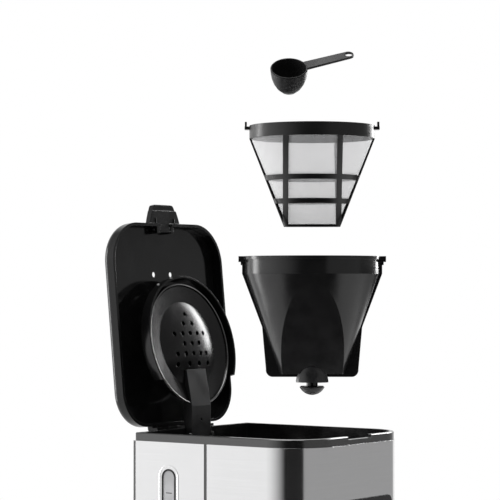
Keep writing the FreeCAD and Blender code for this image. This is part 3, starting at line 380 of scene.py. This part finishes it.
def make_materials():
    black = (0.006, 0.006, 0.0063)
    return {
        "rim": surface("rim", (0.008, 0.008, 0.0083), 0.18, grain_depth=0.000008, IOR=2.0),
        # Black darker than the satin plastic, for the head floor and brew chamber: painted shade
        # inside the machine's open top
        "painted_shade_black": surface("painted_shade_black", (0.005, 0.005, 0.0052), 0.4, Specular_IOR_Level=0.25),
        "lip_gloss": surface("lip_gloss", black, 0.1, grain_depth=0.000002, IOR=2.8),
        "arm_black": surface("arm_black", (0.02, 0.02, 0.021), 0.34, grain_depth=0.000008),
        "print_white": surface("print_white", (0.7, 0.71, 0.72), 0.5, wear=1.0),
        "print_dark": surface("print_dark", (0.03, 0.03, 0.032), 0.5, wear=1.0),
        "lit_digit": surface("lit_digit", (0.6, 0.75, 0.8), 0.4, wear=1.0,
                             Emission_Color=(0.55, 0.8, 0.9, 1.0), Emission_Strength=0.5),
        "lid_black": surface("lid_black", black, 0.2, grain=400.0, grain_depth=0.000004,
                             spread=0.03, IOR=1.4),
        "spray_black": surface("spray_black", black, 0.22, grain=700.0, grain_depth=0.00001,
                               spread=0.03),
        "steel": brushed_steel("steel", (0.81, 0.81, 0.815), 0.12),
        "black_satin": surface("black_satin", (0.011, 0.011, 0.0115), 0.3, wear=1.8),
        "black_gloss": surface("black_gloss", black, 0.12, grain=400.0, grain_depth=0.000004,
                               spread=0.03),
        "funnel_black": surface("funnel_black", (0.010, 0.010, 0.0104), 0.2, grain=500.0,
                                grain_depth=0.00001, spread=0.04),
        "filter_black": surface("filter_black", (0.009, 0.009, 0.009), 0.32),
        "mesh": woven("mesh", (0.85, 0.85, 0.86)),
        "scoop_black": surface("scoop_black", (0.017, 0.017, 0.0175), 0.42, grain_depth=0.000005,
                               wear=1.0, Specular_IOR_Level=0.3),
        "rubber": surface("rubber", (0.03, 0.03, 0.03), 0.75, grain=1500.0, grain_depth=0.00006),
        "fastener": surface("fastener", (0.6, 0.6, 0.62), 0.25, metallic=1.0),
        "plate_coat": surface("plate_coat", (0.025, 0.025, 0.026), 0.45, grain=2500.0,
                              grain_depth=0.00005),
        "heater_metal": surface("heater_metal", (0.6, 0.6, 0.62), 0.45, metallic=1.0,
                                grain_depth=0.00006),
        "thermostat": surface("thermostat", (0.5, 0.49, 0.45), 0.4, metallic=1.0),
        "tank": surface("tank", (0.75, 0.76, 0.77), 0.4, wear=1.0),
        "silicone": surface("silicone", (0.7, 0.7, 0.68), 0.5, wear=1.0),
        "window": surface("window", (0.52, 0.52, 0.53), 0.16, grain_depth=0.000003, wear=1.1),
        "panel": surface("panel", (0.014, 0.014, 0.015), 0.1, grain_depth=0.000003, spread=0.03),
        "display": surface("display", (0.01, 0.012, 0.014), 0.06, grain_depth=0.000001,
                           spread=0.02),
        "display_body": surface("display_body", (0.12, 0.14, 0.12), 0.5),
        "board": surface("board", (0.02, 0.16, 0.06), 0.35, spread=0.1),
        "button": surface("button", (0.03, 0.03, 0.032), 0.3),
        "carafe_glass": clear("carafe_glass", (0.97, 0.985, 0.985), 0.0),
        "carafe_black": surface("carafe_black", black, 0.16, grain=500.0, grain_depth=0.000006),
    }


make_camera()
make_world()
make_surround()
make_floor()

# The direction that the machine's front mirrors to the camera, and the one level across it
FRONT_MIRROR = Vector((0.819, -0.574, 0.0))
MIRROR_ACROSS = Vector((0.574, 0.819, 0.0))
dark_card("floor_card", TOWARDS_CAMERA * 1.1 + UP * 0.002, TOWARDS_CAMERA * 0.7, IMAGE_RIGHT * 0.6)
dark_card("side_card", FRONT_MIRROR * 0.62 + UP * 0.42, MIRROR_ACROSS * 0.5, UP * 0.085)
key = area_light("key_left", (-1.0, 1.1, 0.9), (0, 0, 0.35), (1.8, 1.6), 9)
key.visible_glossy = False
area_light("left_rim", (-0.45, 1.35, 0.5), (-0.1, -0.1, 0.5), (0.35, 1.1), 7)
area_light("top_soft", (-0.2, 0.1, 1.7), (-0.05, 0, 0.3), (1.0, 1.0), 8)
area_light("right_high", (1.35, -0.1, 0.98), (0, 0.05, 0.42), (0.35, 1.0), 13)

# Nodes whose finish differs from the rest of their slot.
# head_floor and brew_chamber take a darker black as painted shade of the recess under the lid
FINISH = {"top_rim": "rim", "rear_cover": "rim", "seam_strips": "rim", "head_floor": "painted_shade_black",
          "brew_chamber": "painted_shade_black", "lid_shell": "lid_black", "lid_latch": "lid_black",
          "spray_plate": "spray_black", "spray_arm": "arm_black"}

materials = make_materials()
slot_of = {part["node"]: part["material_slot"] for part in frame["record"]["subparts"]}
for node, obj in NODES.items():
    obj.data.materials.clear()
    obj.data.materials.append(materials[FINISH.get(node, slot_of[node])])


# Details that the solids leave out, drawn in mm in the frame of their solids and then set in place

MM = 0.001
MERGE = 0.000001
X, Y = 0, 1
AXIS_R = 0.02  # stands for the axis of a turned shape
SPRAY_HINGE, SPRAY_OPEN = (95, 332), -102.6  # y and z of the hinge, and its turn in degrees
LID_HINGE, LID_OPEN = (110, 335), -95.5
SPRAY_FACE = Vector((0, 1.5, 322))
STACK_X, STACK_Y, STACK_TURN = -144.0, -143.1, -55
FUNNEL_Z, FUNNEL_TOP, FUNNEL_DEPTH = 512, -15.8, 90.2
SCOOP_Z, SCOOP_ASIDE, SCOOP_TILT, HANDLE_TURN = 682, -20.8, 39.0, 24
DISPLAY_Z = 263
WINDOW_Y, WINDOW_LOW, WINDOW_HIGH = 59.5, 104.5, 297.5


def turn_of(degrees):
    return math.cos(math.radians(degrees)), math.sin(math.radians(degrees))


def turned_x(points, y, z, degrees):
    """Points turned about a line along x through y, z."""
    c, n = turn_of(degrees)
    return [Vector((p[0], y + (p[1] - y) * c - (p[2] - z) * n, z + (p[1] - y) * n + (p[2] - z) * c))
            for p in points]


def turned_z(points, degrees):
    c, n = turn_of(degrees)
    return [Vector((p[0] * c - p[1] * n, p[0] * n + p[1] * c, p[2])) for p in points]


def in_stack(points, height):
    """Points of the funnel or the scoop, set beside the machine as the solids are."""
    c, n = turn_of(STACK_TURN)
    return [Vector((p[0] * c - p[1] * n + STACK_X, p[0] * n + p[1] * c + STACK_Y, p[2] + height))
            for p in points]


def arc(x, y, radius, start, end, steps):
    turns = [math.radians(start + (end - start) * i / steps) for i in range(steps + 1)]
    return [(x + radius * math.cos(t), y + radius * math.sin(t)) for t in turns]


def circle(x, y, radius):
    return arc(x, y, radius, 0, 345, 23)


def ring(x, y, outer, inner, start, end):
    return arc(x, y, outer, start, end, 28) + arc(x, y, inner, end, start, 28)


def bar(x, y, half_x, half_y):
    return [(x - half_x, y - half_y), (x + half_x, y - half_y),
            (x + half_x, y + half_y), (x - half_x, y + half_y)]


def lathe(profile, steps=96):
    """Closed profile of (radius, height) turned about z."""
    turns = [2 * math.pi * i / steps for i in range(steps)]
    points = [Vector((r * math.cos(t), r * math.sin(t), z)) for r, z in profile for t in turns]
    return points, tube_faces(len(profile), steps)


def prism(outline, low, high):
    """Outline of (x, y) points pulled from low to high."""
    n = len(outline)
    points = [Vector((x, y, z)) for z in (low, high) for x, y in outline]
    faces = [(i, (i + 1) % n, n + (i + 1) % n, n + i) for i in range(n)]
    return points, faces + [tuple(range(n - 1, -1, -1)), tuple(range(n, 2 * n))]


def joined(shapes):
    points, faces = [], []
    for more_points, more_faces in shapes:
        faces += [tuple(i + len(points) for i in face) for face in more_faces]
        points += more_points
    return points, faces


def blank(name, points, faces):
    """Mesh from points in mm, with doubles merged and faces turned outwards."""
    obj = mesh_object(name, [Vector(p) * MM for p in points], faces)
    shape = bmesh.new()
    shape.from_mesh(obj.data)
    bmesh.ops.remove_doubles(shape, verts=shape.verts, dist=MERGE)
    bmesh.ops.recalc_face_normals(shape, faces=shape.faces)
    shape.to_mesh(obj.data)
    shape.free()
    return obj


def carve(obj, cutter):
    """Cut one piece out of another, and drop the cutter."""
    change = obj.modifiers.new("holes", "BOOLEAN")
    change.object, change.operation, change.solver = cutter, "DIFFERENCE", "EXACT"
    bpy.context.view_layer.update()
    cut = obj.evaluated_get(bpy.context.evaluated_depsgraph_get())
    mesh = bpy.data.meshes.new_from_object(cut)
    obj.modifiers.clear()
    obj.data = mesh
    bpy.data.objects.remove(cutter)


def finish_piece(obj, finish, body, hides=(), round_edges=0.0, crease=32.0):
    """Give a piece its material and smooth faces, tie it to its body, and hide the nodes that it
    replaces.
    """
    obj.data.materials.clear()
    obj.data.materials.append(materials[finish])
    if round_edges:
        soft = obj.modifiers.new("round", "BEVEL")
        soft.width, soft.segments, soft.limit_method = round_edges * MM, 3, "ANGLE"
        soft.harden_normals = True
    obj.data.polygons.foreach_set("use_smooth", [True] * len(obj.data.polygons))
    obj.data.set_sharp_from_angle(angle=math.radians(crease))
    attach(obj, body)
    if hides:
        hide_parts(*hides)


def add_spray_face():
    """Perforated dome with wide holes, and the bright bead of the dish's lip."""
    dome_r, rise, sunk, sheet, steps = 44.5, 6.6, 3.4, 1.5, 14
    hole_r, lip_r, bead_r = 2.7, 63.0, 1.1
    ball = (dome_r ** 2 + rise ** 2) / (2 * rise)
    radii = [dome_r * i / steps for i in range(steps, 0, -1)] + [AXIS_R]
    dome = [(r, ball - sunk - math.sqrt(ball ** 2 - r ** 2)) for r in radii]
    inside = [(r, z + sheet) for r, z in reversed(dome)]
    rows = ((-31.2, (0,)), (-21.2, (-7, 7)), (-10.7, (-24, -12, 0, 12, 24)), (-0.2, (-12, 0, 12)),
            (10.3, (-24, -12, 0, 12, 24)), (20.8, (-25, -8, 8, 25)))

    def hung(points):
        return turned_x([p + SPRAY_FACE for p in points], *SPRAY_HINGE, SPRAY_OPEN)

    points, faces = lathe([(61.0, 1.0)] + dome + inside + [(60.4, 2.5)])
    plate = blank("spray_face", hung(points), faces)
    points, faces = joined([prism(circle(x, y, hole_r), -9, 9) for y, row in rows for x in row])
    carve(plate, blank("drills", hung(points), faces))
    finish_piece(plate, "spray_black", "spray_head", hides=("spray_plate",),
                 crease=14.0)
    section = arc(0, 0, 1.0, 0, 330, 11)
    points, faces = lathe([(lip_r + bead_r * x, 0.2 + bead_r * z) for x, z in section], 128)
    lip = blank("spray_lip", hung(points), faces)
    finish_piece(lip, "lip_gloss", "spray_head")


def add_scoop():
    """Cup with a rolled rim, and a flat handle with a hanging eye."""
    outer = [(17.0, 0.0), (16.7, -4.0), (15.9, -9.0), (14.1, -14.5), (11.2, -19.5), (7.2, -23.6),
             (3.4, -25.6), (AXIS_R, -26.2)]
    wall, rim, bottom = 1.3, 0.5, 0.9
    inner = [(max(AXIS_R, r - wall), z + (rim if z > -1 else bottom)) for r, z in reversed(outer)]
    cup = lathe(outer + inner + [(16.4, 0.7)])
    tip = arc(59.5, 0, 5.1, -80, 80, 16)
    grip = prism([(15.6, -5.8), (58.5, -5.1)] + tip + [(58.5, 5.1), (15.6, 5.8)], -2.4, -0.2)
    eye = prism([(60.0 + 3.4 * x, 3.0 * y) for x, y in circle(0, 0, 1.0)], -6, 4)

    def set_up(points, turn):
        tilted = turned_x(turned_z(points, turn), 0, 0, SCOOP_TILT)
        return in_stack([p + Vector((SCOOP_ASIDE, 0, 0)) for p in tilted], SCOOP_Z)

    bowl = blank("scoop_cup", set_up(cup[0], 0), cup[1])
    finish_piece(bowl, "scoop_black", "scoop", hides=("scoop",))
    handle = blank("scoop_handle", set_up(grip[0], HANDLE_TURN), grip[1])
    carve(handle, blank("eye", set_up(eye[0], HANDLE_TURN), eye[1]))
    finish_piece(handle, "scoop_black", "scoop", round_edges=0.5)


def add_hood():
    """Domed hood over the drip valve, on both faces of the funnel's foot."""
    half_wide, tall, foot = 14.6, 15.4, -113.7
    face, lean, lean_from, bulge, chamber_r = 10.2, 0.55, -106, 5.6, 15.8
    turns, rings = 32, 10
    wide = turns + 1
    faces = [(j * wide + i, j * wide + i + 1, (j + 1) * wide + i + 1, (j + 1) * wide + i)
             for j in range(rings) for i in range(turns)]
    for name, side in (("funnel_hood_front", -1), ("funnel_hood_back", 1)):
        points = []
        for j in range(rings + 1):
            u = j / rings
            for i in range(wide):
                x = half_wide * u * math.cos(math.pi * i / turns)
                z = tall * u * math.sin(math.pi * i / turns) + foot
                out = face + lean * max(0.0, z - lean_from)
                out += bulge * math.sqrt(max(0.0, 1 - u * u))
                out = min(out, math.sqrt(chamber_r ** 2 - x * x))
                points.append(Vector((x, side * out, z)))
        hood = blank(name, in_stack(points, FUNNEL_Z), faces)
        finish_piece(hood, "arm_black", "funnel")


def funnel_section(z, less):
    """Section of a cone cut by two slanting planes: arc, flat, arc, flat."""
    top_r, taper = 60.65, 31.5
    foot_half, cut_half, cut_from, cut_slope = 11.1, 57.6, -24.0, 0.565
    radius = top_r + (z - FUNNEL_TOP) * taper / FUNNEL_DEPTH - less
    flat = max(foot_half - less, min(radius, cut_half + (z - cut_from) * cut_slope - less))
    turn = math.degrees(math.asin(min(1.0, flat / radius)))
    half = radius * math.cos(math.radians(turn))
    right = arc(0, 0, radius, -turn, turn, 30)
    level = [(half - 2 * half * i / 12, flat) for i in range(1, 12)]
    return right + level + [(-x, -y) for x, y in right + level]


def add_funnel_skin():
    """Outer face of the funnel: a cone with a flat cut into the front and the back."""
    steps, thick = 44, 0.5
    heights = [FUNNEL_TOP - FUNNEL_DEPTH * i / steps for i in range(steps + 1)]
    loops = [(z, 0.0) for z in heights] + [(z, thick) for z in reversed(heights)]
    points = [Vector((x, y, z)) for z, less in loops for x, y in funnel_section(z, less)]
    faces = tube_faces(len(loops), len(points) // len(loops))
    skin = blank("funnel_skin", in_stack(points, FUNNEL_Z), faces)
    finish_piece(skin, "funnel_black", "funnel", crease=7.0)


def add_tab():
    """Finger tab of the lid: a tapering blade with a stepped tip, and a root at the pin."""
    top = 348.3
    # y, half width, underside
    stations = ((-106.9, 25.0, 342.5), (-112.5, 23.0, 342.3), (-119.6, 20.0, 342.2),
                (-119.9, 19.4, 343.3), (-124.0, 17.4, 343.3), (-125.4, 16.0, 343.4),
                (-126.2, 13.0, 343.8))
    points = []
    for y, half, low in stations:
        corners = ((-half, low), (half, low), (half, top), (-half, top))
        points += [Vector((x, y, z)) for x, z in corners]
    last = len(points) - 4
    ends = [(3, 2, 1, 0), (last, last + 1, last + 2, last + 3)]
    blade = (points, tube_faces(len(stations), 4, closed=False) + ends)
    root = prism(bar(0, -102.4, 8, 4.8), 342.6, 350.4)
    ribs = [prism(bar(x, -109.2, 0.7, 2.8), 341.4, 343) for x in (-15, 15)]
    points, faces = joined([blade, root] + ribs)
    tab = blank("lid_tab", turned_x(points, *LID_HINGE, LID_OPEN), faces)
    finish_piece(tab, "lid_black", "latch", hides=("lid_latch",), round_edges=0.6)


def lowest(node, axis):
    """Least coordinate of a node along an axis, in mm."""
    place = NODES[node].matrix_world
    return min((place @ v.co)[axis] for v in NODES[node].data.vertices) / MM


def on_front(shapes, node, depth):
    """Flat marks drawn as (x, z) outlines, laid on the front of a node."""
    points, faces = joined([prism(outline, 0, depth) for outline in shapes])
    front = lowest(node, Y)
    return [Vector((p.x, front - p.z, p.y)) for p in points], faces


def add_display():
    """Time on the display: four digits of seven bars, and a colon."""
    bars = {"a": (0, 6, True), "b": (3, 3, False), "c": (3, -3, False), "d": (0, -6, True),
            "e": (-3, -3, False), "f": (-3, 3, False), "g": (0, 0, True)}
    lit = ((-17.5, "bc"), (-8.0, "abged"), (8.0, "abcdef"), (17.5, "abcdef"))
    long, thin, dot = 2.3, 0.65, 0.8
    shapes = [bar(0, DISPLAY_Z + z, dot, dot) for z in (-2.6, 2.6)]
    for x, names in lit:
        for name in names:
            dx, dz, level = bars[name]
            size = (long, thin) if level else (thin, long)
            shapes.append(bar(x + dx, DISPLAY_Z + dz, *size))
    digits = blank("display_digits", *on_front(shapes, "display_window", 0.15))
    finish_piece(digits, "lit_digit", "machine")


def add_button_marks():
    """Symbols on the buttons: up, down, a clock, three bars, and a broken ring."""
    marks = {
        "hour_button": [[(-44.4, 262.8), (-39.6, 262.8), (-42, 266.4)]],
        "minute_button": [[(-44.4, 239.4), (-42, 235.8), (-39.6, 239.4)]],
        "program_button": [ring(42, 264, 3.1, 2.5, 0, 359), bar(42, 265.1, 0.3, 1.2),
                           bar(42.9, 264, 1.0, 0.3)],
        "strength_button": [bar(42 + 2 * i, 236.6 + 0.7 * i + 0.7, 0.6, 1.1 + 0.7 * i)
                            for i in (-1, 0, 1)],
        "power_button": [ring(0, 233.8, 4.2, 3.4, -245, 65), bar(0, 237.2, 0.4, 2.0)],
    }
    for node, shapes in marks.items():
        mark = blank(node + "_mark", *on_front(shapes, node, 0.1))
        finish_piece(mark, "print_white", node + "_key")


def add_levels():
    """Level marks on the water window."""
    first, step, count, depth = 112, 15.5, 12, 0.12
    ticks = [bar(WINDOW_Y, first + step * i, 3.6 if i % 2 else 2.2, 0.4) for i in range(count)]
    points, faces = joined([prism(outline, 0, depth) for outline in ticks])
    face_x = lowest("water_window", X)
    marks = blank("level_marks", [Vector((face_x - p.z, p.x, p.y)) for p in points], faces)
    finish_piece(marks, "print_dark", "machine")


def add_window_bead():
    """Pressed bead of the steel round the water window."""
    steel_x, radius, half_wide, proud, sides = -94.35, 11.4, 1.3, 0.35, 8
    path = arc(WINDOW_Y, WINDOW_HIGH, radius, 0, 180, 24)
    path += arc(WINDOW_Y, WINDOW_LOW, radius, 180, 360, 24)
    points = []
    for y, z in path:
        out = Vector((0, y - WINDOW_Y, z - min(max(z, WINDOW_LOW), WINDOW_HIGH))).normalized()
        for i in range(sides):
            turn = 2 * math.pi * i / sides
            point = Vector((steel_x, y, z)) + out * (half_wide * math.cos(turn))
            points.append(point + Vector((-proud * math.sin(turn), 0, 0)))
    bead = blank("window_bead", points, tube_faces(len(path), sides))
    finish_piece(bead, "steel", "machine", crease=60.0)


add_spray_face()
add_scoop()
add_hood()
add_funnel_skin()
add_tab()
add_display()
add_button_marks()
add_levels()
add_window_bead()
